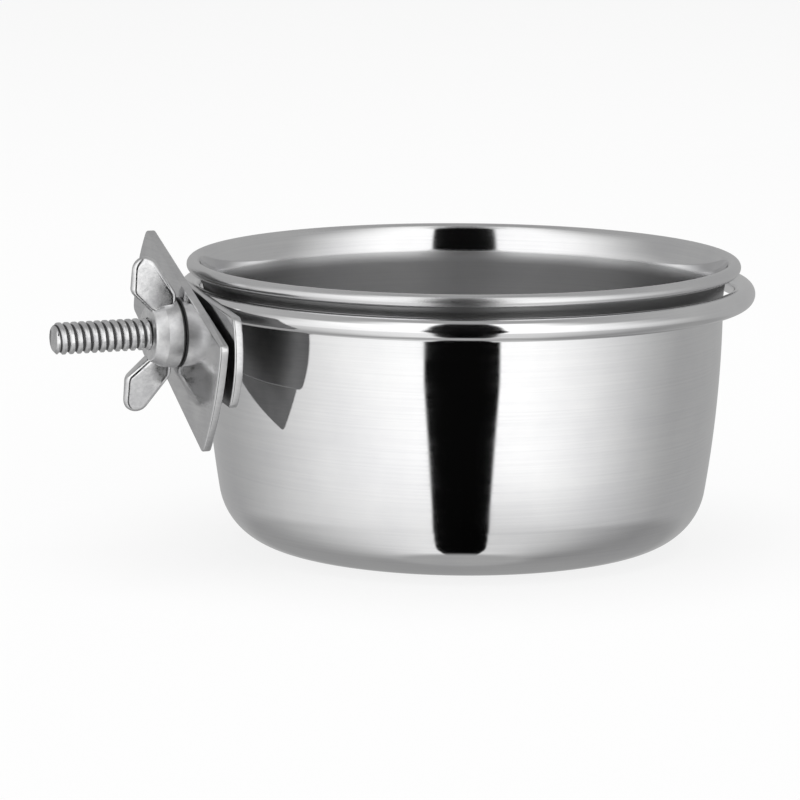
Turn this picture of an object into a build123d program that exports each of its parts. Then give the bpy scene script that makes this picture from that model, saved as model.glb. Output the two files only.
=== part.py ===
from build123d import *
import os
from math import asin, atan2, cos, degrees, hypot, radians, sin, sqrt

# Seed cup for a cage. A drawn steel cup hangs by its rolled rim in a ring of round rod, and two plates on
# a threaded stud grip the wires of the cage. Millimetres, +Z up. The origin is the middle of the cup's
# base, and the stud points along -X.

# Cup
rim_radius = 56.0  # outside of the rolled rim
cup_height = 58.0
sheet = 0.6
curl_radius = 1.35  # outside of the roll
curl_turn = 200.0  # degrees that the edge is rolled on past the top of the rim
lip_radius = 19.0  # outside of the flare that leads from the neck to the roll
lip_turn = 22.5  # degrees
base_fillet = 13.0
base_draft = 9.3  # lean of the wall, in degrees, where it meets the base corner

# Ring
rod_diameter = 4.6
ring_play = 1.19  # radial room between the neck and the ring
neck_gap = 0.45  # room left on the side that the ring is drawn over to
rim_gap = 1.7  # from the underside of the rim to the top of the ring

# Plates
plate_thickness = 1.75
plate_edge_round = 0.35
plate_corner_round = 1.0
back_plate_length = 54.6
back_plate_height = 18.2
back_plate_end_bow = 2.2
back_plate_slant = 6.2  # degrees about the stud, as welded
clamp_plate_length = 49.8
clamp_plate_wide = 25.0
clamp_plate_narrow = 19.2
clamp_plate_end_bow = 1.5
clamp_plate_swivel = 25.8  # degrees about the stud
wire_gap = 0.9  # between the plates

# Welds between ring and back plate
weld_length = 16.0
weld_leg = 1.7
weld_depth = 1.1
weld_fall = 0.55  # of the bead's face, from the plate to the rod
weld_root_gap = 0.5  # between the upper and the lower run

# Stud
stud_diameter = 6.35
stud_reach = 27.8  # from the back plate to the tip
stud_chamfer = 0.7
spigot_diameter = 4.8
spigot_clearance = 0.05
peen_diameter = 6.6
peen_height = 0.8
peen_gap = 0.5  # from the lower weld down to the peened head
plate_hole_clearance = 0.4
plate_hang_gap = 0.1  # over the stud, on which the clamp plate hangs

# Wing nut
nut_clearance = 0.05
nut_radius = 7.0
nut_skirt = 3.3  # height of the straight side
nut_height = 5.6
nut_collar_radius = 4.9  # flat around the stud
nut_edge_round = 0.5
wing_turn = 12.0  # degrees about the stud, from upright
wing_reach = 16.2
wing_height = 9.8
wing_lift = 0.7  # lower edge above the seat
wing_toe = 8.6  # radius at which the lower edge starts to climb
wing_shoulder = 8.8  # radius of the inner corner
wing_tip_round = 2.6
wing_corner_round = 2.0  # at the toe and the shoulder
wing_root_thickness = 3.8
wing_tip_thickness = 2.3
wing_edge_round = 0.7

# Levels and places that follow from these sizes
curl_hollow = curl_radius - sheet
lip_run = lip_radius - (lip_radius - curl_hollow) * cos(radians(lip_turn))
lip_rise = (lip_radius - curl_hollow) * sin(radians(lip_turn))
neck_radius = rim_radius - curl_radius - lip_run
neck_level = cup_height - curl_radius - lip_rise
rod_radius = rod_diameter / 2
stud_radius = stud_diameter / 2
ring_radius = neck_radius + ring_play + rod_radius
ring_shift = ring_play - neck_gap
ring_level = cup_height - 2 * curl_radius - rim_gap - rod_radius
stud_level = ring_level - weld_leg - peen_gap - peen_diameter / 2
hole_level = stud_level - plate_hole_clearance + plate_hang_gap
back_inside = ring_shift - ring_radius - rod_radius
back_outside = back_inside - plate_thickness
clamp_inside = back_outside - wire_gap
nut_seat = clamp_inside - plate_thickness


def across_stud(x: float, level: float, turn: float = 0.0) -> Plane:
    """Plane square to the stud at x and level, its normal along the stud, its own x turned up from -Y by turn."""
    along = (0, -cos(radians(turn)), sin(radians(turn)))
    return Plane(origin=(x, 0, level), x_dir=along, z_dir=(-1, 0, 0))


def plate_outline(length: float, far_end: float, near_end: float, end_bow: float) -> Sketch:
    """Draw straight long edges between a far and a near end that bow outwards, centred on the sketch."""
    side = length / 2 - end_bow
    with BuildSketch() as outline:
        with BuildLine():
            top = Line((-side, far_end / 2), (side, near_end / 2))
            near = ThreePointArc(top @ 1, (length / 2, 0), (side, -near_end / 2))
            bottom = Line(near @ 1, (-side, -far_end / 2))
            ThreePointArc(bottom @ 1, (-length / 2, 0), top @ 0)
        make_face()
    return outline.sketch


os.makedirs("parts", exist_ok=True)

# Cup: one sheet, drawn and bowed, with a lip that flares into the rolled rim
wall_foot = base_fillet * (1 - sin(radians(base_draft)))
bow_radius = (neck_level - wall_foot) / sin(radians(base_draft))
base_radius = neck_radius - bow_radius * (1 - cos(radians(base_draft))) - base_fillet * cos(radians(base_draft))


def sheet_line(inset: float) -> Curve:
    """Draw one side of the sheet, inset from its outer side, from the middle of the base to the rolled edge."""
    with BuildLine() as side:
        base = Line((0, inset), (base_radius, inset))
        corner = JernArc(base @ 1, base % 1, base_fillet - inset, 90 - base_draft)
        wall = JernArc(corner @ 1, corner % 1, bow_radius - inset, base_draft)
        lip = JernArc(wall @ 1, wall % 1, lip_radius + inset, -lip_turn)
        JernArc(lip @ 1, lip % 1, curl_hollow + inset, lip_turn - 90 - curl_turn)
    return side.line


with BuildPart() as cup:
    with BuildSketch(Plane.XZ):
        with BuildLine():
            outside = add(sheet_line(0))
            inside = add(sheet_line(sheet))
            Line((0, 0), (0, sheet))
            Line(outside.edges()[-1] @ 1, inside.edges()[-1] @ 1)
        make_face()
    revolve(axis=Axis.Z)
cup.part.label = "cup"
export_step(cup.part, "parts/cup.step")

# Ring: drawn over so that the neck lies near it on the clamp's side
with BuildPart() as holder_ring:
    with BuildSketch(Plane.XZ):
        with Locations((ring_shift + ring_radius, ring_level)):
            Circle(rod_radius)
    revolve(axis=Axis((ring_shift, 0, 0), (0, 0, 1)))
holder_ring.part.label = "holder_ring"
export_step(holder_ring.part, "parts/holder_ring.step")

# Back plate: flat against the ring, holed for the stud's spigot
with BuildPart() as back_plate:
    with BuildSketch(across_stud(back_inside, stud_level, -back_plate_slant)):
        add(plate_outline(back_plate_length, back_plate_height, back_plate_height, back_plate_end_bow))
    extrude(amount=plate_thickness)
    fillet(back_plate.edges().filter_by(Axis.X), plate_corner_round)
    fillet(back_plate.faces().filter_by(Axis.X).edges(), plate_edge_round)
    with Locations(across_stud(back_outside, stud_level)):
        Hole(spigot_diameter / 2 + spigot_clearance, depth=plate_thickness)
back_plate.part.label = "back_plate"
export_step(back_plate.part, "parts/back_plate.step")

# Welds: a run above and a run below the rod, filling the corner between rod and plate
with BuildPart() as ring_welds:
    with BuildSketch(Plane.XZ):
        with BuildLine():
            Polyline(
                (back_inside, ring_level + weld_root_gap / 2),
                (back_inside, ring_level + weld_leg),
                (back_inside + weld_depth, ring_level + weld_leg - weld_fall),
                (back_inside + weld_depth, ring_level + weld_root_gap / 2),
                close=True,
            )
        make_face()
    extrude(amount=weld_length / 2, both=True)
    add(holder_ring.part, mode=Mode.SUBTRACT)
    mirror(about=Plane.XY.offset(ring_level))
ring_welds.part.label = "ring_welds"
export_step(ring_welds.part, "parts/ring_welds.step")

# Stud: shouldered on the back plate, its spigot peened over behind
peen_crown = (peen_height**2 + (peen_diameter / 2) ** 2) / (2 * peen_height)

with BuildPart() as clamp_stud:
    with BuildSketch(across_stud(back_outside, stud_level)):
        Circle(stud_radius)
    extrude(amount=stud_reach)
    chamfer(clamp_stud.edges().sort_by(Axis.X)[0], stud_chamfer)
    with BuildSketch(across_stud(back_inside, stud_level)):
        Circle(spigot_diameter / 2)
    extrude(amount=plate_thickness)
    with BuildSketch(Plane(origin=(back_inside, 0, stud_level), x_dir=(1, 0, 0), z_dir=(0, -1, 0))):
        with BuildLine():
            dome = JernArc((peen_height, 0), (0, 1), peen_crown, Axis.Y)
            Polyline(dome @ 1, (0, 0), dome @ 0)
        make_face()
    revolve(axis=Axis((0, 0, stud_level), (1, 0, 0)))
clamp_stud.part.label = "clamp_stud"
export_step(clamp_stud.part, "parts/clamp_stud.step")

# Clamp plate: loose on the stud, swivelled about it
with BuildPart() as clamp_plate:
    with BuildSketch(across_stud(clamp_inside, hole_level, -clamp_plate_swivel)):
        add(plate_outline(clamp_plate_length, clamp_plate_narrow, clamp_plate_wide, clamp_plate_end_bow))
    extrude(amount=plate_thickness)
    fillet(clamp_plate.edges().filter_by(Axis.X), plate_corner_round)
    fillet(clamp_plate.faces().filter_by(Axis.X).edges(), plate_edge_round)
    with Locations(across_stud(nut_seat, hole_level)):
        Hole(stud_radius + plate_hole_clearance, depth=plate_thickness)
clamp_plate.part.label = "clamp_plate"
export_step(clamp_plate.part, "parts/clamp_plate.step")

# Wing nut: two tapered wings swept away from the plate, on a round skirted hub
seat_plane = across_stud(nut_seat, stud_level, 90 - wing_turn)
side_plane = Plane(seat_plane.origin, x_dir=seat_plane.x_dir, z_dir=-seat_plane.y_dir)
tip_run = wing_reach - wing_tip_round - wing_toe
tip_rise = wing_height - wing_tip_round - wing_lift
wing_climb = atan2(tip_rise, tip_run) - asin(wing_tip_round / hypot(tip_run, tip_rise))
wing_edge = sqrt(tip_run**2 + tip_rise**2 - wing_tip_round**2)

with BuildPart() as wing_nut:
    with BuildSketch(side_plane):
        with BuildLine():
            lower = FilletPolyline(
                (nut_collar_radius, wing_lift),
                (wing_toe, wing_lift),
                (wing_toe + wing_edge * cos(wing_climb), wing_lift + wing_edge * sin(wing_climb)),
                radius=wing_corner_round,
            )
            tip = JernArc(lower @ 1, lower % 1, wing_tip_round, 180 - degrees(wing_climb))
            upper = FilletPolyline(
                tip @ 1,
                (wing_shoulder, wing_height),
                (nut_collar_radius, nut_height),
                radius=wing_corner_round,
            )
            Line(upper @ 1, lower @ 0)
        make_face()
    extrude(amount=wing_root_thickness / 2, both=True)
    with BuildSketch(seat_plane):
        Polygon(
            (0, wing_root_thickness / 2),
            (0, -wing_root_thickness / 2),
            (wing_reach, -wing_tip_thickness / 2),
            (wing_reach, wing_tip_thickness / 2),
            align=None,
        )
    extrude(amount=wing_height, mode=Mode.INTERSECT)
    wing_sides = wing_nut.faces().filter_by(GeomType.PLANE).sort_by(SortBy.AREA)[-2:]
    fillet(wing_sides.edges().filter_by(Axis.X, reverse=True), wing_edge_round)
    mirror(about=Plane(seat_plane.origin, z_dir=seat_plane.x_dir))
    with BuildSketch(side_plane):
        with BuildLine():
            hub = FilletPolyline(
                (0, 0),
                (nut_radius, 0),
                (nut_radius, nut_skirt),
                (nut_collar_radius, nut_height),
                (0, nut_height),
                radius=nut_edge_round,
            )
            Line(hub @ 1, hub @ 0)
        make_face()
    revolve(axis=Axis(seat_plane.origin, seat_plane.z_dir))
    with Locations(seat_plane.offset(nut_height)):
        Hole(stud_radius + nut_clearance, depth=nut_height)
wing_nut.part.label = "wing_nut"
export_step(wing_nut.part, "parts/wing_nut.step")
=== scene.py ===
import logging
from abc import ABC, abstractmethod
from dataclasses import dataclass
from enum import Enum
from math import asin, atan2, copysign, cos, degrees, hypot, pi, radians, sin, sqrt, tan
from typing import Iterable, Optional, Union

import bmesh
import bpy
from bmesh.types import BMEdge, BMesh, BMVert
from mathutils import Matrix, Vector


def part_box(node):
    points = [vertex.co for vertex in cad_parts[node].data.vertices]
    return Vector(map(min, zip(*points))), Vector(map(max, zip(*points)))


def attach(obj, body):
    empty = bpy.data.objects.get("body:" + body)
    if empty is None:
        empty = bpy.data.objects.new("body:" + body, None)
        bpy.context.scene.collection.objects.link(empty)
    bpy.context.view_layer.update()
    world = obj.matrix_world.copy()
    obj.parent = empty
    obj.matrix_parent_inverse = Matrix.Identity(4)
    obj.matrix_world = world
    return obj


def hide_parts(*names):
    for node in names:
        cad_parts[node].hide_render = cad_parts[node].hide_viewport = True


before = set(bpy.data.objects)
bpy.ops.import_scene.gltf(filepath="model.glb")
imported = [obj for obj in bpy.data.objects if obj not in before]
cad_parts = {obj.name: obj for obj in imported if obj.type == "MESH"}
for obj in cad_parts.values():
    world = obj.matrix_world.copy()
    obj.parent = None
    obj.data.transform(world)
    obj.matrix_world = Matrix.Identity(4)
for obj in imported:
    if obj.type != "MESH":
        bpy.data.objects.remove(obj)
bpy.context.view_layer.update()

log = logging.getLogger("seed_cup")

MM = 0.001
Colour = tuple[float, float, float, float]
Triple = tuple[float, float, float]
Band = tuple[float, float]
Levels = tuple[Band, ...]
Socket = bpy.types.NodeSocket
Feed = Union[float, Triple, Colour, Socket]

# Each vertex may carry a mark that dulls the steel there. Between these two marks the steel is also painted
# darker, as shade in hollows, grooves and corners between parts.
SATIN_AND_SHADE = "satin"
PAINTED_SHADE_MARKS = (0.88, 1.25)

# Wear is this share of haze and for the rest grain. Steel is clean at the first wear and hazed at the second.
HAZE_SHARE = 0.65
WEAR_BAND = (0.36, 0.66)

# Sizes that pieces share, in millimetres.
ROD_RADIUS = 2.3
STUD_LEVEL = 45.8
PLATE_THICKNESS = 1.75

# Points nearer than this are one point, in millimetres.
MERGE = 0.002

# Angles past which an edge belongs to a shape and isn't a step of a curve, in radians.
PLATE_EDGE = 1.0
WING_EDGE = 0.6

CENTRE = (0.0, 0.0, 0.0)
UPWARDS = (0.0, 0.0, 1.0)


def corners(node: str) -> tuple[Vector, Vector]:
    """Give a node's lowest and highest corners at rest, in mm."""
    low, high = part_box(node)
    return Vector(low) / MM, Vector(high) / MM


def grey(level: float) -> Colour:
    """Give a neutral colour."""
    return level, level, level, 1.0


RING_LOW, RING_HIGH = corners("holder_ring")
RING_LEVEL = (RING_LOW.z + RING_HIGH.z) / 2
BACK_LOW, BACK_HIGH = corners("back_plate")


class Body(Enum):
    """The moving bodies that pieces ride on."""

    HOLDER = "holder"
    CUP = "cup"
    CLAMP = "clamp"
    NUT = "nut"


class NodeSheet:
    """Adds nodes to one node tree and joins their sockets."""

    def __init__(self, tree: bpy.types.NodeTree) -> None:
        """Empty the tree.

        Args:
            tree: node tree of a material or of the world.
        """
        self.tree = tree
        tree.nodes.clear()

    def add(self, kind: str, feeds: dict[Union[int, str], Feed], **settings: object) -> bpy.types.Node:
        """Add one node.

        Args:
            kind: type of the node.
            feeds: value or socket for each named or numbered input.
            **settings: properties of the node itself.

        Returns:
            The new node.
        """
        node = self.tree.nodes.new(kind)
        for key, value in settings.items():
            setattr(node, key, value)
        for key, value in feeds.items():
            if isinstance(value, Socket):
                self.tree.links.new(value, node.inputs[key])
            else:
                node.inputs[key].default_value = value
        return node

    def math(self, operation: str, first: Feed, second: Feed = 0.0) -> Socket:
        """Add a Math node and return its output.

        Args:
            operation: what the node works out.
            first: its first input.
            second: its second input.

        Returns:
            The socket with the result.
        """
        return self.add("ShaderNodeMath", {0: first, 1: second}, operation=operation).outputs[0]

    def span(self, value: Feed, low: Feed, high: Feed, start: float = 0.0, end: float = 1.0) -> Socket:
        """Ease a value from one range into another.

        Args:
            value: the input.
            low: input at which the result is start.
            high: input at which the result is end.
            start: result at low and beyond.
            end: result at high and beyond.

        Returns:
            The socket with the result.
        """
        feeds = {"Value": value, "From Min": low, "From Max": high, "To Min": start, "To Max": end}
        return self.add("ShaderNodeMapRange", feeds, interpolation_type="SMOOTHSTEP").outputs["Result"]

    def noise(self, place: Feed, scale: float, detail: float) -> Socket:
        """Add a noise over a place and return its value.

        Args:
            place: coordinates.
            scale: waves a metre.
            detail: octaves of finer noise.

        Returns:
            The socket with the value.
        """
        feeds = {"Vector": place, "Scale": scale, "Detail": detail, "Roughness": 0.55}
        return self.add("ShaderNodeTexNoise", feeds).outputs["Fac"]

    def ramp(self, value: Feed, stops: Iterable[tuple[float, Colour]]) -> Socket:
        """Add a colour ramp and return its colour.

        Args:
            value: place on the ramp.
            stops: position and colour of each stop, in order.

        Returns:
            The socket with the colour.
        """
        node = self.add("ShaderNodeValToRGB", {"Fac": value})
        stops = list(stops)
        elements = node.color_ramp.elements
        while len(elements) < len(stops):
            elements.new(1.0)
        for element, (position, colour) in zip(elements, stops):
            element.position = position
            element.color = colour
        return node.outputs["Color"]

    def scaled(self, colour: Feed, share: Feed) -> Socket:
        """Dim a colour.

        Args:
            colour: the colour.
            share: how much of it is left.

        Returns:
            The socket with the result.
        """
        feeds = {0: colour, "Scale": share}
        return self.add("ShaderNodeVectorMath", feeds, operation="SCALE").outputs["Vector"]

    def blend(self, share: Feed, first: Feed, second: Feed) -> Socket:
        """Blend two colours.

        Args:
            share: how much of the second.
            first: colour at a share of 0.
            second: colour at a share of 1.

        Returns:
            The socket with the colour.
        """
        feeds = {0: share, 6: first, 7: second}
        return self.add("ShaderNodeMix", feeds, data_type="RGBA").outputs[2]

    def bump(self, height: Feed, depth: float, under: Optional[Socket] = None) -> Socket:
        """Add a bump and return its normal.

        Args:
            height: from 0 to 1.
            depth: metres at a height of 1.
            under: normal of another bump that lies under this one.

        Returns:
            The socket with the normal.
        """
        feeds = {"Strength": 1.0, "Distance": depth, "Height": height}
        if under is not None:
            feeds["Normal"] = under
        return self.add("ShaderNodeBump", feeds).outputs["Normal"]


@dataclass(frozen=True)
class SteelFinish:
    """How one kind of worked steel looks. Depths are metres, counts are waves a metre.

    Attributes:
        name: of the material.
        pale: colour where the surface is clean.
        deep: colour where it is hazed.
        smooth: roughness where it is clean.
        dull: roughness where it is hazed.
        grain: count of the polish lines along X, Y and Z.
        grain_turn: turn of the lines about X, Y and Z, in degrees.
        grain_depth: depth of the lines.
        haze: count of the patches of haze.
        sway: count of the slow waves in the sheet.
        sway_depth: depth of the slow waves.
        satin: roughness where the mesh has a satin mark of 1, or 0 on a piece without marks.
        painted_shade: how much darker the steel is painted at the highest mark, as shade in hollows, grooves
            and corners.
    """

    name: str
    pale: Colour
    deep: Colour
    smooth: float
    dull: float
    grain: Triple
    grain_turn: Triple = (0.0, 0.0, 0.0)
    grain_depth: float = 2e-7
    haze: float = 55.0
    sway: float = 40.0
    sway_depth: float = 4e-6
    satin: float = 0.0
    painted_shade: float = 0.0

    def material(self) -> bpy.types.Material:
        """Build the node material and return it."""
        material = bpy.data.materials.new(self.name)
        material.use_nodes = True
        sheet = NodeSheet(material.node_tree)
        place = sheet.add("ShaderNodeTexCoord", {}).outputs["Object"]
        turn = tuple(radians(a) for a in self.grain_turn)
        lines = sheet.add("ShaderNodeMapping", {"Vector": place, "Rotation": turn, "Scale": self.grain})
        grain = sheet.noise(lines.outputs["Vector"], scale=1.0, detail=3.0)
        haze = sheet.noise(place, scale=self.haze, detail=4.0)
        sway = sheet.noise(place, scale=self.sway, detail=1.0)
        hazed = sheet.math("MULTIPLY", haze, HAZE_SHARE)
        wear = sheet.math("ADD", hazed, sheet.math("MULTIPLY", grain, 1.0 - HAZE_SHARE))
        colour = sheet.ramp(wear, zip(WEAR_BAND, (self.pale, self.deep)))
        roughness = sheet.span(wear, *WEAR_BAND, self.smooth, self.dull)
        if self.satin:
            mark = sheet.add("ShaderNodeAttribute", {}, attribute_name=SATIN_AND_SHADE).outputs["Fac"]
            roughness = sheet.math("MAXIMUM", roughness, sheet.math("MULTIPLY", mark, self.satin))
            # Between the two marks the colour is darkened too: painted shade.
            shade = sheet.span(mark, *PAINTED_SHADE_MARKS, 1.0, 1.0 - self.painted_shade)
            colour = sheet.scaled(colour, shade)
        waves = sheet.bump(sway, self.sway_depth)
        scored = sheet.bump(grain, self.grain_depth, waves)
        feeds = {"Base Color": colour, "Metallic": 1.0, "Roughness": roughness, "Normal": scored}
        steel = sheet.add("ShaderNodeBsdfPrincipled", feeds)
        sheet.add("ShaderNodeOutputMaterial", {"Surface": steel.outputs["BSDF"]})
        return material


MIRROR_SHEET = SteelFinish(
    name="mirror_polished_sheet",
    pale=(0.80, 0.80, 0.80, 1.0),
    deep=(0.72, 0.72, 0.73, 1.0),
    smooth=0.04,
    dull=0.09,
    grain=(30.0, 30.0, 2600.0),
    grain_depth=1.5e-7,
    satin=0.28,
    painted_shade=0.8,
)
DRAWN_ROD = SteelFinish(
    name="polished_rod",
    pale=(0.88, 0.88, 0.88, 1.0),
    deep=(0.79, 0.79, 0.80, 1.0),
    smooth=0.06,
    dull=0.13,
    grain=(25.0, 25.0, 2200.0),
    grain_depth=2e-7,
)
STAMPED_PLATE = SteelFinish(
    name="buffed_plate",
    pale=(0.76, 0.76, 0.76, 1.0),
    deep=(0.62, 0.62, 0.63, 1.0),
    smooth=0.10,
    dull=0.20,
    grain=(900.0, 120.0, 2400.0),
    grain_turn=(-16.0, 0.0, 0.0),
    grain_depth=6e-7,
    haze=140.0,
    sway=90.0,
    sway_depth=9e-6,
    satin=0.34,
    painted_shade=0.5,
)
PLATED_THREAD = SteelFinish(
    name="plated_thread",
    pale=(0.86, 0.86, 0.86, 1.0),
    deep=(0.60, 0.60, 0.61, 1.0),
    smooth=0.10,
    dull=0.24,
    grain=(1500.0, 1500.0, 1500.0),
    grain_depth=1.5e-6,
    haze=420.0,
    sway=300.0,
    sway_depth=3e-6,
    satin=0.36,
    painted_shade=0.86,
)
CAST_NUT = SteelFinish(
    name="tumbled_casting",
    pale=(0.88, 0.88, 0.88, 1.0),
    deep=(0.66, 0.66, 0.67, 1.0),
    smooth=0.11,
    dull=0.27,
    grain=(1300.0, 1300.0, 1300.0),
    grain_depth=2.5e-6,
    haze=260.0,
    sway=220.0,
    sway_depth=1.6e-5,
    satin=0.38,
    painted_shade=0.85,
)
WELD_BEAD = SteelFinish(
    name="weld_bead",
    pale=(0.60, 0.58, 0.55, 1.0),
    deep=(0.36, 0.33, 0.31, 1.0),
    smooth=0.26,
    dull=0.46,
    grain=(1800.0, 1800.0, 1800.0),
    grain_depth=6e-6,
    haze=500.0,
)


@dataclass
class Pen:
    """Draws a wire in the XY plane of a mesh, in lines and arcs from one point on."""

    mesh: BMesh
    first: BMVert
    tip: BMVert

    @classmethod
    def start(cls, mesh: BMesh, x: float, y: float) -> "Pen":
        """Set the pen down.

        Args:
            mesh: the mesh to draw in.
            x: place of the first point.
            y: place of the first point.

        Returns:
            The pen.
        """
        vert = mesh.verts.new((x, y, 0.0))
        return cls(mesh, vert, vert)

    def line(self, x: float, y: float) -> "Pen":
        """Draw a straight line.

        Args:
            x: place of its end.
            y: place of its end.

        Returns:
            The pen.
        """
        self.tip = bmesh.ops.extrude_vert_indiv(self.mesh, verts=[self.tip])["verts"][0]
        self.tip.co = (x, y, 0.0)
        return self

    def arc(self, x: float, y: float, turn: float, steps: int) -> "Pen":
        """Draw an arc round a centre.

        Args:
            x: place of the centre.
            y: place of the centre.
            turn: degrees, anticlockwise.
            steps: edges in the arc.

        Returns:
            The pen.
        """
        swept = bmesh.ops.spin(
            self.mesh, geom=[self.tip], cent=(x, y, 0.0), axis=UPWARDS, angle=radians(turn), steps=steps
        )
        self.tip = next(item for item in swept["geom_last"] if isinstance(item, BMVert))
        return self

    def close(self) -> None:
        """Join the last point to the first."""
        self.mesh.edges.new((self.tip, self.first))


def stand_up(mesh: BMesh) -> None:
    """Turn what was drawn in the XY plane up into the XZ plane."""
    bmesh.ops.rotate(mesh, cent=CENTRE, matrix=Matrix.Rotation(pi / 2, 3, "X"), verts=mesh.verts)


def turn_on_lathe(mesh: BMesh, steps: int, centre: Triple = CENTRE) -> None:
    """Spin the wire in the XZ plane into a closed skin about an upright axis.

    Args:
        mesh: the mesh with the wire.
        steps: faces round the axis.
        centre: a point of the axis.
    """
    wire = mesh.verts[:] + mesh.edges[:]
    bmesh.ops.spin(mesh, geom=wire, cent=centre, axis=UPWARDS, angle=2 * pi, steps=steps, use_merge=True)
    bmesh.ops.remove_doubles(mesh, verts=mesh.verts, dist=MERGE)
    bmesh.ops.recalc_face_normals(mesh, faces=mesh.faces)


def thicken(mesh: BMesh, depth: float) -> None:
    """Give flat faces depth.

    Args:
        mesh: the mesh with the faces, in the XY plane.
        depth: how far they are lifted along Z.
    """
    grown = bmesh.ops.extrude_face_region(mesh, geom=mesh.faces[:])
    lifted = [item for item in grown["geom"] if isinstance(item, BMVert)]
    bmesh.ops.translate(mesh, vec=(0.0, 0.0, depth), verts=lifted)


def round_off(mesh: BMesh, geom: list, offset: float, segments: int, affect: str = "EDGES") -> None:
    """Round off edges or corners.

    Args:
        mesh: the mesh.
        geom: the edges, or the points at the corners.
        offset: how far the rounding reaches.
        segments: steps over it.
        affect: EDGES or VERTICES.
    """
    bmesh.ops.bevel(
        mesh,
        geom=geom,
        offset=offset,
        offset_type="OFFSET",
        affect=affect,
        segments=segments,
        profile=0.5,
        material=-1,
    )


def frame_flats(mesh: BMesh, flatness: float, width: float, least_corners: int = 3) -> None:
    """Frame the faces that lie flat with a narrow strip, so that smooth shading leaves them flat.

    Args:
        mesh: the mesh.
        flatness: least Z of such a face's normal, up or down.
        width: of the strip.
        least_corners: of such a face.
    """
    flats = [f for f in mesh.faces if abs(f.normal.z) > flatness and len(f.verts) >= least_corners]
    bmesh.ops.inset_region(mesh, faces=flats, thickness=width, use_even_offset=True)


def join_into(mesh: BMesh, other: BMesh) -> None:
    """Add another mesh to a mesh and free it.

    Args:
        mesh: the mesh that grows.
        other: the mesh that is used up.
    """
    carrier = bpy.data.meshes.new("carrier")
    other.to_mesh(carrier)
    other.free()
    mesh.from_mesh(carrier)
    bpy.data.meshes.remove(carrier)


def soften(mesh: BMesh, limit: float = 35.0) -> None:
    """Shade a mesh smooth, with its hard edges kept.

    Args:
        mesh: the mesh.
        limit: degrees between two faces past which their edge is hard.
    """
    for face in mesh.faces:
        face.smooth = True
    for edge in mesh.edges:
        edge.smooth = edge.calc_face_angle(0.0) < radians(limit)


def across_stud(x: float, level: float, turn: float = 0.0) -> Matrix:
    """Give the place of a shape that lies square to the stud.

    Args:
        x: place along the stud, in mm.
        level: height, in mm.
        turn: degrees by which its own x is turned up from -Y.

    Returns:
        The matrix from the shape's own axes.
    """
    c, s = cos(radians(turn)), sin(radians(turn))
    return Matrix(((0.0, 0.0, -1.0, x), (-c, s, 0.0, 0.0), (s, c, 0.0, level), (0.0, 0.0, 0.0, 1.0)))


@dataclass
class Piece(ABC):
    """A piece that stands for one node of the frame. Sizes are millimetres.

    Attributes:
        node: the node, whose name the piece's mesh also takes.
        body: what the piece rides on.
        finish: how its steel looks.
    """

    node: str
    body: Body
    finish: SteelFinish

    @abstractmethod
    def shape(self) -> BMesh:
        """Model the piece in place, in mm, and return it."""

    def build(self) -> bpy.types.Object:
        """Model the piece and return its object, at the origin."""
        shape = self.shape()
        bmesh.ops.scale(shape, vec=(MM, MM, MM), verts=shape.verts)
        mesh = bpy.data.meshes.new(self.node)
        shape.to_mesh(mesh)
        shape.free()
        piece = bpy.data.objects.new(f"{self.node}_fine", mesh)
        bpy.context.scene.collection.objects.link(piece)
        return piece

    def dress(self, piece: bpy.types.Object) -> None:
        """Give the piece its finish and its place in the frame.

        Args:
            piece: the object that build returned.
        """
        piece.data.materials.append(self.finish.material())
        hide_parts(self.node)
        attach(piece, self.body.value)


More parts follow.
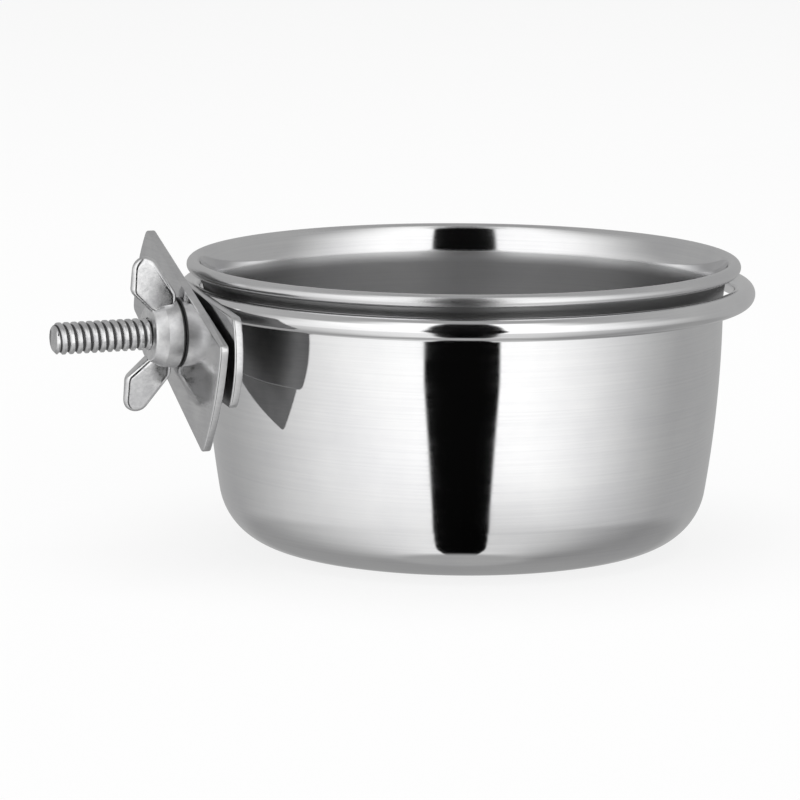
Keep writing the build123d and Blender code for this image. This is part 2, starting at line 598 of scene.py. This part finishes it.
@dataclass
class Cup(Piece):
    """The drawn cup: one sheet with a bowed wall, a flared lip and an edge that is rolled outwards.

    Attributes:
        bead_satin: mark of the rolled edge, less polished than the lip, where the satin inside has 1.
        neck_satin_and_shade: mark of the dull neck under the rolled edge and of the inside of the roll, which
            are also painted dark there as the shade of that crevice.
        satin_share: share of the lip, from its lower end, that is as satin as the inside.
        floor_margin: width of the floor's outermost ring of faces.
        curl_steps: steps over the inside and the outside of the rolled edge.
    """

    node: str = "cup"
    body: Body = Body.CUP
    finish: SteelFinish = MIRROR_SHEET
    rim_radius: float = 56.0
    height: float = 58.0
    sheet: float = 0.6
    curl_radius: float = 1.35
    curl_turn: float = 200.0
    lip_radius: float = 19.0
    lip_turn: float = 22.5
    base_fillet: float = 13.0
    base_draft: float = 9.3
    bead_satin: float = 0.88
    neck_satin_and_shade: float = 1.1
    satin_share: float = 0.42
    floor_margin: float = 1.5
    steps: int = 256
    corner_steps: int = 26
    wall_steps: int = 24
    lip_steps: int = 18
    curl_steps: tuple[int, int] = (30, 36)

    def shape(self) -> BMesh:
        """Draw both sides of the sheet, spin them and return the cup."""
        lean, flare = radians(self.base_draft), radians(self.lip_turn)
        inner_curl = self.curl_radius - self.sheet
        neck_radius = self.rim_radius - self.curl_radius - inner_curl * cos(flare)
        neck_radius -= self.lip_radius * (1 - cos(flare))
        neck_level = self.height - self.curl_radius + inner_curl * sin(flare) - self.lip_radius * sin(flare)
        bow = (neck_level - self.base_fillet * (1 - sin(lean))) / sin(lean)
        base_radius = neck_radius - bow * (1 - cos(lean)) - self.base_fillet * cos(lean)
        corner = (base_radius, self.base_fillet)
        wall = (neck_radius - bow, neck_level)
        lip = (neck_radius + self.lip_radius, neck_level)
        curl = (self.rim_radius - self.curl_radius, self.height - self.curl_radius)
        curl_all = 90 - self.lip_turn + self.curl_turn
        mesh = bmesh.new()
        satin = mesh.verts.layers.float.new(SATIN_AND_SHADE)
        pen = Pen.start(mesh, 0.0, 0.0).line(base_radius - self.floor_margin, 0.0).line(base_radius, 0.0)
        pen.arc(*corner, 90 - self.base_draft, self.corner_steps)
        pen.arc(*wall, self.base_draft, self.wall_steps)
        polished = len(mesh.verts)
        pen.arc(*lip, -self.lip_turn, self.lip_steps).arc(*curl, -curl_all, self.curl_steps[0])
        edge = Vector(curl) + (pen.tip.co.xy - Vector(curl)) * (self.curl_radius / inner_curl)
        hidden = len(mesh.verts)
        pen.line(*edge).arc(*curl, curl_all, self.curl_steps[1])
        bead = len(mesh.verts)
        pen.arc(*lip, self.lip_turn, self.lip_steps)
        inside = len(mesh.verts) - round(self.lip_steps * self.satin_share)
        pen.arc(*wall, -self.base_draft, self.wall_steps)
        pen.arc(*corner, self.base_draft - 90, self.corner_steps)
        pen.line(base_radius - self.floor_margin, self.sheet).line(0.0, self.sheet)
        # The neck and the inside of the roll are dull and painted dark, as shade in the crevice under the
        # roll. The inside of the cup is satin and painted a little darker, as shade in its hollow. The bead
        # is only duller.
        marks = (
            (polished, 0.0),
            (hidden, self.neck_satin_and_shade),
            (bead, self.bead_satin),
            (inside, 0.0),
            (inside + 1, 0.5),
            (len(mesh.verts), 1.0),
        )
        for index, vert in enumerate(mesh.verts):
            vert[satin] = next(mark for end, mark in marks if index < end)
        stand_up(mesh)
        turn_on_lathe(mesh, self.steps)
        soften(mesh)
        return mesh


@dataclass
class HolderRing(Piece):
    """The ring of round rod that the cup hangs in."""

    node: str = "holder_ring"
    body: Body = Body.HOLDER
    finish: SteelFinish = DRAWN_ROD
    rod_radius: float = ROD_RADIUS
    ring_radius: float = (RING_HIGH.y - RING_LOW.y) / 2 - ROD_RADIUS
    level: float = RING_LEVEL
    shift: float = 0.74
    steps: int = 256
    rod_steps: int = 48

    def shape(self) -> BMesh:
        """Spin the rod's section round the ring's axis and return the ring."""
        mesh = bmesh.new()
        bmesh.ops.create_circle(mesh, segments=self.rod_steps, radius=self.rod_radius)
        stand_up(mesh)
        bmesh.ops.translate(mesh, vec=(self.shift + self.ring_radius, 0.0, self.level), verts=mesh.verts)
        turn_on_lathe(mesh, self.steps, (self.shift, 0.0, 0.0))
        soften(mesh)
        return mesh


@dataclass
class FlatPlate(Piece):
    """A stamped plate with straight long edges, bowed ends, a hole and a duller inner face, which is also
    painted darker as shade between the parts.

    Attributes:
        length: over the bowed ends.
        far_end: height at the far end.
        near_end: height at the near end.
        end_bow: how far an end bows out.
        thickness: of the plate.
        edge_round: of its long edges and ends.
        corner_round: of its four corners.
        hole_radius: of the hole in its middle.
        inside: place of its inner face along the stud.
        level: height of its middle.
        turn: degrees by which its near end is turned up about the stud.
        hole_margin: width round the hole in which edges stay sharp.
        flat_frame: width of the strip that frames its faces.
    """

    length: float = 54.6
    far_end: float = 18.2
    near_end: float = 18.2
    end_bow: float = 2.2
    thickness: float = PLATE_THICKNESS
    edge_round: float = 0.35
    corner_round: float = 1.0
    hole_radius: float = 2.45
    inside: float = BACK_HIGH.x
    level: float = STUD_LEVEL
    turn: float = -6.2
    hole_margin: float = 0.5
    flat_frame: float = 0.2
    end_steps: int = 12

    def end_arc(self, end: float) -> tuple[float, float]:
        """Work out a bowed end.

        Args:
            end: height of the end.

        Returns:
            The radius of the bow and the degrees that it spans.
        """
        radius = (end**2 / 4 + self.end_bow**2) / (2 * self.end_bow)
        return radius, 2 * degrees(asin(end / 2 / radius))

    def outline(self, mesh: BMesh) -> list[BMEdge]:
        """Draw the outline with rounded corners.

        Args:
            mesh: the mesh to draw in.

        Returns:
            Its edges.
        """
        side = self.length / 2 - self.end_bow
        near, near_turn = self.end_arc(self.near_end)
        far, far_turn = self.end_arc(self.far_end)
        pen = Pen.start(mesh, side, -self.near_end / 2)
        points = [pen.tip]
        points.append(pen.arc(self.length / 2 - near, 0.0, near_turn, self.end_steps).tip)
        points.append(pen.line(-side, self.far_end / 2).tip)
        points.append(pen.arc(far - self.length / 2, 0.0, far_turn, self.end_steps).tip)
        pen.close()
        bmesh.ops.contextual_create(mesh, geom=mesh.edges[:])
        round_off(mesh, points, self.corner_round, segments=6, affect="VERTICES")
        bmesh.ops.delete(mesh, geom=mesh.faces[:], context="FACES_ONLY")
        return mesh.edges[:]

    def shape(self) -> BMesh:
        """Fill between the outline and the hole, thicken, round the edges and return the plate."""
        mesh = bmesh.new()
        rim = self.outline(mesh)
        bmesh.ops.create_circle(mesh, segments=len(rim), radius=self.hole_radius)
        bmesh.ops.bridge_loops(mesh, edges=mesh.edges[:])
        thicken(mesh, self.thickness)
        bmesh.ops.recalc_face_normals(mesh, faces=mesh.faces)
        clear = self.hole_radius + self.hole_margin
        outer = [
            edge
            for edge in mesh.edges
            if edge.calc_face_angle(0.0) > PLATE_EDGE and min(v.co.xy.length for v in edge.verts) > clear
        ]
        round_off(mesh, outer, self.edge_round, segments=4)
        frame_flats(mesh, flatness=0.999, width=self.flat_frame)
        satin = mesh.verts.layers.float.new(SATIN_AND_SHADE)
        # The inner face takes the highest mark: duller, and painted darker as shade between the parts.
        for vert in mesh.verts:
            vert[satin] = PAINTED_SHADE_MARKS[1] if vert.co.z < self.edge_round / 4 else 0.0
        bmesh.ops.transform(mesh, matrix=across_stud(self.inside, self.level, self.turn), verts=mesh.verts)
        soften(mesh)
        return mesh


@dataclass
class BackPlate(FlatPlate):
    """The plate that is welded to the ring."""

    node: str = "back_plate"
    body: Body = Body.HOLDER
    finish: SteelFinish = STAMPED_PLATE


@dataclass
class ClampPlate(FlatPlate):
    """The loose plate, wider at its near end, that the nut presses against the wires."""

    node: str = "clamp_plate"
    body: Body = Body.CLAMP
    finish: SteelFinish = STAMPED_PLATE
    length: float = 49.8
    far_end: float = 19.2
    near_end: float = 25.0
    end_bow: float = 1.5
    hole_radius: float = 3.575
    inside: float = corners("clamp_plate")[1].x
    level: float = 45.5
    turn: float = -25.8


@dataclass
class RingWelds(Piece):
    """The rippled runs of weld above and below the rod, in the corner between rod and plate.

    Attributes:
        bead_depth: distance of a bead's middle from the plate.
        bead_rise: its distance from the rod's level.
        ripple_curve: power that makes the crests of the ripples round and the dips sharp.
        end_curve: power that keeps a bead full up to its ends.
        least_share: share of a bead's radius that is left at its very ends.
        ripple_steps: steps over one ripple.
    """

    node: str = "ring_welds"
    body: Body = Body.HOLDER
    finish: SteelFinish = WELD_BEAD
    plate_inside: float = BACK_HIGH.x
    ring_level: float = RING_LEVEL
    length: float = 16.0
    bead_radius: float = 0.48
    bead_depth: float = 0.36
    bead_rise: float = 1.34
    ripples: int = 17
    ripple_depth: float = 0.16
    ripple_curve: float = 0.7
    end_curve: int = 12
    least_share: float = 0.05
    bead_steps: int = 18
    ripple_steps: int = 8

    def run(self, level: float) -> BMesh:
        """Model one run of weld.

        Args:
            level: height of its middle.

        Returns:
            The bead.
        """
        mesh = bmesh.new()
        bmesh.ops.create_cone(
            mesh,
            cap_ends=True,
            segments=self.bead_steps,
            radius1=self.bead_radius,
            radius2=self.bead_radius,
            depth=self.length,
        )
        sides = [edge for edge in mesh.edges if edge.calc_length() > self.length / 2]
        cuts = self.ripples * self.ripple_steps - 1
        bmesh.ops.subdivide_edges(mesh, edges=sides, cuts=cuts, use_grid_fill=True)
        for vert in mesh.verts:
            along = vert.co.z / self.length + 0.5
            ripple = 1 - self.ripple_depth * abs(sin(pi * self.ripples * along)) ** self.ripple_curve
            taper = max(0.0, 1 - (2 * abs(along - 0.5)) ** self.end_curve) ** 0.5
            vert.co.xy *= ripple * max(taper, self.least_share)
        stand_up(mesh)
        place = (self.plate_inside + self.bead_depth, 0.0, level)
        bmesh.ops.translate(mesh, vec=place, verts=mesh.verts)
        return mesh

    def shape(self) -> BMesh:
        """Model the upper and the lower run and return them."""
        mesh = self.run(self.ring_level + self.bead_rise)
        join_into(mesh, self.run(self.ring_level - self.bead_rise))
        bmesh.ops.recalc_face_normals(mesh, faces=mesh.faces)
        soften(mesh, limit=60.0)
        return mesh


@dataclass
class ClampStud(Piece):
    """The stud: a rolled thread with a chamfered tip, and a spigot that is peened over behind the plate.

    Attributes:
        reach: length of the thread from its shoulder.
        shoulder: place of the shoulder along the stud.
        spigot_root: how far the spigot reaches into the thread.
        lead_in: turns of thread that are swept past each end and cut off.
    """

    node: str = "clamp_stud"
    body: Body = Body.HOLDER
    finish: SteelFinish = PLATED_THREAD
    radius: float = 3.175
    reach: float = 27.8
    chamfer: float = 0.7
    pitch: float = 1.5875
    thread_depth: float = 0.46
    spigot_radius: float = 2.4
    spigot_root: float = 0.6
    plate_thickness: float = PLATE_THICKNESS
    peen_radius: float = 3.3
    peen_height: float = 0.8
    shoulder: float = BACK_LOW.x
    level: float = STUD_LEVEL
    lead_in: int = 2
    steps: int = 40
    spigot_steps: int = 48

    def thread(self) -> BMesh:
        """Sweep one tooth along its helix, cut it to length, close and chamfer it.

        Returns:
            The threaded shank, along +Z from the shoulder.
        """
        mesh = bmesh.new()
        satin = mesh.verts.layers.float.new(SATIN_AND_SHADE)
        root, start = self.radius - self.thread_depth, -self.lead_in * self.pitch
        tooth = ((root, 0.1), (self.radius, 0.36), (self.radius, 0.66), (root, 0.92), (root, 1.0))
        pen = Pen.start(mesh, root, start)
        for radius, share in tooth:
            pen.line(radius, start + share * self.pitch)
        # The roots take the highest mark: duller, and painted dark as shade in the grooves.
        for vert in mesh.verts:
            vert[satin] = PAINTED_SHADE_MARKS[1] if vert.co.x == pen.first.co.x else 0.0
        stand_up(mesh)
        turns = int(self.reach / self.pitch) + 1 + 2 * self.lead_in
        bmesh.ops.spin(
            mesh,
            geom=mesh.verts[:] + mesh.edges[:],
            cent=CENTRE,
            axis=UPWARDS,
            dvec=(0.0, 0.0, self.pitch / self.steps),
            angle=2 * pi * turns,
            steps=self.steps * turns,
        )
        bmesh.ops.remove_doubles(mesh, verts=mesh.verts, dist=MERGE)
        for level, inner in ((0.0, True), (self.reach, False)):
            bmesh.ops.bisect_plane(
                mesh,
                geom=mesh.verts[:] + mesh.edges[:] + mesh.faces[:],
                dist=MERGE / 2,
                plane_co=(0.0, 0.0, level),
                plane_no=UPWARDS,
                clear_inner=inner,
                clear_outer=not inner,
            )
        bmesh.ops.holes_fill(mesh, edges=[edge for edge in mesh.edges if edge.is_boundary], sides=0)
        for vert in mesh.verts:
            limit = self.radius - max(0.0, vert.co.z - self.reach + self.chamfer)
            if vert.co.xy.length > limit:
                vert.co.xy *= limit / vert.co.xy.length
        bmesh.ops.recalc_face_normals(mesh, faces=mesh.faces)
        return mesh

    def peened_end(self) -> BMesh:
        """Spin the spigot and its domed head, along -Z from the shoulder, and return them."""
        crown = (self.peen_height**2 + self.peen_radius**2) / (2 * self.peen_height)
        top = -self.plate_thickness - self.peen_height
        mesh = bmesh.new()
        pen = Pen.start(mesh, 0.0, top).arc(0.0, top + crown, degrees(asin(self.peen_radius / crown)), 8)
        pen.line(self.spigot_radius, -self.plate_thickness)
        pen.line(self.spigot_radius, self.spigot_root).line(0.0, self.spigot_root)
        stand_up(mesh)
        turn_on_lathe(mesh, self.spigot_steps)
        return mesh

    def shape(self) -> BMesh:
        """Join thread and peened end, lay them along the stud's line and return the stud."""
        mesh = self.thread()
        join_into(mesh, self.peened_end())
        bmesh.ops.transform(mesh, matrix=across_stud(self.shoulder, self.level), verts=mesh.verts)
        soften(mesh, limit=28.0)
        return mesh


@dataclass
class WingNut(Piece):
    """The wing nut: two tapered wings that sweep away from the plate, on a round skirted hub.

    Attributes:
        skirt_draft: degrees by which the skirt closes in from the plate.
        crown: radius of the hub at its outer end.
        wing_draft: degrees by which a wing's sides close in from the plate.
        hub_satin: mark of the hub, which is duller than the wings. Its rounded corner against the plate takes
            the highest mark instead, a painted contact shadow.
        flat_frame: width of the strip that frames a wing's sides.
    """

    node: str = "wing_nut"
    body: Body = Body.NUT
    finish: SteelFinish = CAST_NUT
    bore: float = 3.225
    radius: float = 7.0
    skirt: float = 3.3
    height: float = 5.6
    collar: float = 4.9
    edge_round: float = 0.5
    wing_turn: float = 12.0
    wing_reach: float = 16.2
    wing_height: float = 9.8
    wing_lift: float = 0.7
    wing_toe: float = 8.6
    wing_shoulder: float = 8.8
    tip_round: float = 2.6
    corner_round: float = 2.0
    root_thickness: float = 3.8
    tip_thickness: float = 2.3
    wing_edge_round: float = 0.95
    skirt_draft: float = 8.5
    crown: float = 5.35
    wing_draft: float = 4.0
    hub_satin: float = 0.88
    flat_frame: float = 0.25
    seat: float = corners("wing_nut")[1].x
    level: float = STUD_LEVEL
    hub_steps: int = 96

    def hub(self) -> BMesh:
        """Spin the hub's section round the bore and return the hub."""
        draft = radians(self.skirt_draft)
        r = self.edge_round
        shoulder = self.radius - (self.skirt - r) * tan(draft)
        fall = radians(180) - atan2(self.height - self.skirt, self.crown - shoulder)
        flat = self.crown - r * tan(fall / 2)
        mesh = bmesh.new()
        satin = mesh.verts.layers.float.new(SATIN_AND_SHADE)
        pen = Pen.start(mesh, self.bore, 0.0).line(self.radius - r, 0.0)
        pen.arc(self.radius - r, r, 90 + self.skirt_draft, 6)
        corner = len(mesh.verts) - 1
        pen.line(shoulder, self.skirt)
        pen.line(flat + r * sin(fall), self.height - r * (1 - cos(fall)))
        pen.arc(flat, self.height - r, degrees(fall), 5).line(self.bore, self.height)
        pen.close()
        # The rounded corner against the plate takes the highest mark, a painted contact shadow. The rest of
        # the hub is only duller.
        for index, vert in enumerate(mesh.verts):
            vert[satin] = PAINTED_SHADE_MARKS[1] if index < corner else self.hub_satin
        stand_up(mesh)
        turn_on_lathe(mesh, self.hub_steps)
        return mesh

    def wing(self) -> BMesh:
        """Draw one wing's side, thicken, taper and round it.

        Returns:
            The wing, out along X and up along Z.
        """
        run = self.wing_reach - self.tip_round - self.wing_toe
        rise = self.wing_height - self.tip_round - self.wing_lift
        climb = atan2(rise, run) - asin(self.tip_round / hypot(run, rise))
        edge = sqrt(run**2 + rise**2 - self.tip_round**2)
        drop = atan2(self.wing_height - self.height, self.wing_shoulder - self.collar)
        toe = self.wing_toe - self.corner_round * tan(climb / 2)
        shoulder = self.wing_shoulder + self.corner_round * tan(drop / 2)
        root = (self.bore + self.collar) / 2
        mesh = bmesh.new()
        pen = Pen.start(mesh, root, self.wing_lift).line(toe, self.wing_lift)
        pen.arc(toe, self.wing_lift + self.corner_round, degrees(climb), 6)
        pen.line(self.wing_toe + edge * cos(climb), self.wing_lift + edge * sin(climb))
        tip = (self.wing_reach - self.tip_round, self.wing_height - self.tip_round)
        pen.arc(*tip, 180 - degrees(climb), 16)
        pen.line(shoulder, self.wing_height)
        pen.arc(shoulder, self.wing_height - self.corner_round, degrees(drop), 7)
        pen.line(root, self.height - (self.collar - root) * tan(drop))
        pen.close()
        bmesh.ops.contextual_create(mesh, geom=mesh.edges[:])
        thicken(mesh, 1.0)
        bmesh.ops.translate(mesh, vec=(0.0, 0.0, -0.5), verts=mesh.verts)
        for vert in mesh.verts:
            taper = (self.tip_thickness - self.root_thickness) * vert.co.x / self.wing_reach
            lean = (self.wing_height / 2 - vert.co.y) * tan(radians(self.wing_draft))
            vert.co.z = copysign((self.root_thickness + taper) / 2 + lean, vert.co.z)
        bmesh.ops.recalc_face_normals(mesh, faces=mesh.faces)
        edges = [
            edge
            for edge in mesh.edges
            if edge.calc_face_angle(0.0) > WING_EDGE and edge.verts[0].co.z * edge.verts[1].co.z > 0
        ]
        round_off(mesh, edges, self.wing_edge_round, segments=5)
        frame_flats(mesh, flatness=0.99, width=self.flat_frame, least_corners=9)
        stand_up(mesh)
        return mesh

    def shape(self) -> BMesh:
        """Join the hub and two opposite wings, seat them on the plate and return the nut."""
        mesh = self.hub()
        for turn in (0.0, pi):
            wing = self.wing()
            bmesh.ops.rotate(wing, cent=CENTRE, matrix=Matrix.Rotation(turn, 3, "Z"), verts=wing.verts)
            join_into(mesh, wing)
        seated = across_stud(self.seat, self.level, 90 - self.wing_turn)
        bmesh.ops.transform(mesh, matrix=seated, verts=mesh.verts)
        soften(mesh, limit=19.5)
        return mesh


@dataclass(frozen=True)
class Fade:
    """How the bright front of the set fades on one side. Angles are degrees from the front.

    Attributes:
        low: where the fade starts and ends below the horizon.
        high: the same above it.
        top: share of those angles that is left towards the ceiling.
        deep: share of the light that is left near the ground.
    """

    low: Band
    high: Band
    top: float
    deep: float


@dataclass
class Studio:
    """The pale floor, the light and the camera. Lengths are metres, angles degrees.

    Attributes:
        front: azimuth of the set's front, from which the picture is taken.
        elevation: of the camera.
        distance: of the camera from the aim.
        aim_height: of the point on the cup's axis that the camera is set by.
        swing: turn of the camera to its left, off the aim.
        nod: turn of the camera upwards, off the aim.
        roll: turn of the camera about its own line of sight.
        focal_px: focal length in pixels of the picture.
        picture_px: width of the picture.
        floor_radius: of the floor.
        floor_drop: how far the floor lies under the cup.
        floor_grey: level of the floor, between its darker and paler spots.
        floor_glow: share of even white in what is seen of the floor.
        left: fade of the bright front on the picture's left.
        right: the same on its right.
        horizon_band: heights between which a fade's low angles turn into its high ones.
        top_band: heights between which its angles close in towards the ceiling.
        deep_band: heights between which the light sinks near the ground.
        back_band: angles from the front between which a fade's own depth turns into the back's.
        side_light: level to which the front fades.
        back_deep: share of that light that is left near the ground at the back.
        gap_half: height and half width of the dark gap at the front.
        gap_shift: how far the gap stands to the left of the front.
        gap_blur: half width of the gap's soft edges.
        gap_light: share of the light that is left in the gap.
        ceiling: level of the ceiling.
        ceiling_band: heights between which the walls turn into the ceiling.
        ground: level of the ground.
        ground_band: heights between which the walls turn into the ground.
        strength: of the light from all round.
        lamp_power: of the lamp, in watts.
        lamp_size: width of the lamp.
        lamp_height: of the lamp.
    """

    front: float = -23.3
    elevation: float = 9.51
    distance: float = 0.9
    aim_height: float = 0.027
    swing: float = 0.809
    nod: float = 0.102
    roll: float = 0.442
    focal_px: float = 4423.5
    picture_px: float = 800.0
    floor_radius: float = 5.0
    floor_drop: float = 0.0003
    floor_grey: Band = (0.90, 0.92)
    floor_glow: float = 0.82
    left: Fade = Fade(low=(10.0, 140.0), high=(40.0, 100.0), top=0.67, deep=0.76)
    right: Fade = Fade(low=(24.0, 115.0), high=(36.0, 92.0), top=0.74, deep=0.60)
    horizon_band: Band = (-8.0, 16.0)
    top_band: Band = (22.0, 38.0)
    deep_band: Band = (-20.5, -32.0)
    back_band: Band = (50.0, 170.0)
    side_light: float = 0.34
    back_deep: float = 0.82
    gap_half: Levels = (
        (-90, 19.0),
        (-64, 18.5),
        (-52, 15.8),
        (-36, 13.8),
        (-27, 13.9),
        (-20.5, 15.0),
        (-13.5, 16.6),
        (-6, 16.4),
        (8, 14.7),
        (90, 15.4),
    )
    gap_shift: float = 0.3
    gap_blur: float = 0.8
    gap_light: float = 0.002
    ceiling: float = 0.30
    ceiling_band: Band = (60.0, 74.0)
    ground: float = 0.33
    ground_band: Band = (-70.0, -78.0)
    strength: float = 1.28
    lamp_power: float = 14.0
    lamp_size: float = 1.6
    lamp_height: float = 1.5

    def floor(self) -> None:
        """Lay the floor just under the cup."""
        disc = bmesh.new()
        bmesh.ops.create_circle(disc, cap_ends=True, segments=96, radius=self.floor_radius)
        bmesh.ops.translate(disc, vec=(0.0, 0.0, -self.floor_drop), verts=disc.verts)
        mesh = bpy.data.meshes.new("floor")
        disc.to_mesh(mesh)
        disc.free()
        floor = bpy.data.objects.new("floor", mesh)
        bpy.context.scene.collection.objects.link(floor)
        material = bpy.data.materials.new("pale_floor")
        material.use_nodes = True
        sheet = NodeSheet(material.node_tree)
        place = sheet.add("ShaderNodeTexCoord", {}).outputs["Object"]
        mottle = sheet.noise(place, scale=3.0, detail=2.0)
        colour = sheet.ramp(mottle, zip((0.3, 0.7), map(grey, self.floor_grey)))
        feeds = {"Base Color": colour, "Roughness": 0.9, "Specular IOR Level": 0.0}
        paint = sheet.add("ShaderNodeBsdfPrincipled", feeds)
        rays = sheet.add("ShaderNodeLightPath", {}).outputs
        seen = sheet.math("MAXIMUM", rays["Is Camera Ray"], rays["Is Glossy Ray"])
        seen = sheet.math("MAXIMUM", seen, rays["Is Transmission Ray"])
        white = sheet.add("ShaderNodeEmission", {"Color": grey(1.0), "Strength": 1.0})
        glow = sheet.math("MULTIPLY", seen, self.floor_glow)
        feeds = {0: glow, 1: paint.outputs["BSDF"], 2: white.outputs["Emission"]}
        lit = sheet.add("ShaderNodeMixShader", feeds)
        sheet.add("ShaderNodeOutputMaterial", {"Surface": lit.outputs["Shader"]})
        mesh.materials.append(material)
        floor.visible_glossy = False

    def surround(self) -> None:
        """Light the set from all round: white walls with a dark gap, a grey ceiling and a grey ground."""
        world = bpy.data.worlds.new("surround")
        bpy.context.scene.world = world
        world.use_nodes = True
        sheet = NodeSheet(world.node_tree)
        way = sheet.add("ShaderNodeTexCoord", {}).outputs["Generated"]
        turn = radians(self.front)
        ahead, right = (sin(turn), -cos(turn), 0.0), (cos(turn), sin(turn), 0.0)
        near, aside, up = (
            sheet.add("ShaderNodeVectorMath", {0: way, 1: axis}, operation="DOT_PRODUCT").outputs["Value"]
            for axis in (ahead, right, UPWARDS)
        )
        bearing = sheet.math("DEGREES", sheet.math("ARCTAN2", aside, near))
        rise = sheet.math("DEGREES", sheet.math("ARCSINE", up))
        sides = [self.fading(sheet, bearing, rise, fade) for fade in (self.right, self.left)]
        on_left = sheet.math("LESS_THAN", bearing, 0.0)
        walls = sheet.blend(on_left, *sides)
        from_middle = sheet.math("ABSOLUTE", sheet.math("ADD", bearing, self.gap_shift))
        off_gap = sheet.math("SUBTRACT", from_middle, self.gap_width(sheet, rise))
        open_wall = sheet.span(off_gap, -self.gap_blur, self.gap_blur, self.gap_light, 1.0)
        lit = sheet.scaled(walls, open_wall)
        capped = sheet.blend(sheet.span(rise, *self.ceiling_band), lit, grey(self.ceiling))
        grounded = sheet.blend(sheet.span(rise, *self.ground_band), capped, grey(self.ground))
        light = sheet.add("ShaderNodeBackground", {"Color": grounded, "Strength": self.strength})
        sheet.add("ShaderNodeOutputWorld", {"Surface": light.outputs["Background"]})

    def gap_width(self, sheet: NodeSheet, rise: Feed) -> Socket:
        """Look up the half width of the dark gap on a ramp from the lowest to the highest point.

        Args:
            sheet: the node tree of the world.
            rise: degrees above the horizon.

        Returns:
            The socket with the half width, in degrees.
        """
        place = sheet.math("ADD", sheet.math("DIVIDE", rise, 180.0), 0.5)
        stops = [(angle / 180 + 0.5, grey(half / 90)) for angle, half in self.gap_half]
        return sheet.math("MULTIPLY", sheet.ramp(place, stops), 90.0)

    def fading(self, sheet: NodeSheet, bearing: Feed, rise: Feed, fade: Fade) -> Socket:
        """Light one side of the walls, white at the front and grey further round.

        Args:
            sheet: the node tree of the world.
            bearing: degrees from the front.
            rise: degrees above the horizon.
            fade: where this side fades.

        Returns:
            The socket with the light.
        """
        closing = sheet.span(rise, *self.top_band, 1.0, fade.top)
        start, end = (
            sheet.math("MULTIPLY", closing, sheet.span(rise, *self.horizon_band, low, high))
            for low, high in zip(fade.low, fade.high)
        )
        turn = sheet.math("ABSOLUTE", bearing)
        level = sheet.span(turn, start, end, 1.0, self.side_light)
        lost = sheet.span(turn, *self.back_band, 1.0 - fade.deep, 1.0 - self.back_deep)
        lost = sheet.math("MULTIPLY", lost, sheet.span(rise, *self.deep_band))
        return sheet.math("MULTIPLY", level, sheet.math("SUBTRACT", 1.0, lost))

    def lamp(self) -> None:
        """Hang a wide soft lamp over the floor."""
        light = bpy.data.lights.new("overhead", "AREA")
        light.shape = "DISK"
        light.size = self.lamp_size
        light.energy = self.lamp_power
        lamp = bpy.data.objects.new("overhead", light)
        lamp.location = (0.0, 0.0, self.lamp_height)
        lamp.visible_glossy = False
        lamp.visible_camera = False
        bpy.context.scene.collection.objects.link(lamp)

    def camera(self) -> None:
        """Stand the camera where the picture was taken from."""
        turn, lift = radians(self.front), radians(self.elevation)
        back = Vector((sin(turn) * cos(lift), -cos(turn) * cos(lift), sin(lift)))
        right = Vector((cos(turn), sin(turn), 0.0))
        facing = Matrix((right, back.cross(right), back)).transposed()
        for angle, axis in ((self.roll, "Z"), (self.swing, "Y"), (self.nod, "X")):
            facing = facing @ Matrix.Rotation(radians(angle), 3, axis)
        lens = bpy.data.cameras.new("camera")
        lens.sensor_width = 36.0
        lens.lens = self.focal_px / self.picture_px * lens.sensor_width
        lens.clip_end = 50.0
        camera = bpy.data.objects.new("camera", lens)
        place = Vector((0.0, 0.0, self.aim_height)) + self.distance * back
        camera.matrix_world = Matrix.Translation(place) @ facing.to_4x4()
        bpy.context.scene.collection.objects.link(camera)
        bpy.context.scene.camera = camera

    def build(self) -> None:
        """Set up floor, light and camera."""
        self.floor()
        self.surround()
        self.lamp()
        self.camera()
        bpy.context.scene.view_settings.view_transform = "Standard"


def main() -> None:
    """Build the part's pieces and the set around them."""
    logging.basicConfig(level=logging.INFO, format="%(message)s")
    for piece in (Cup(), HolderRing(), BackPlate(), RingWelds(), ClampStud(), ClampPlate(), WingNut()):
        made = piece.build()
        piece.dress(made)
        log.info("%s: %d faces in %s", made.name, len(made.data.polygons), piece.finish.name)
    Studio().build()


if __name__ == "__main__":
    main()
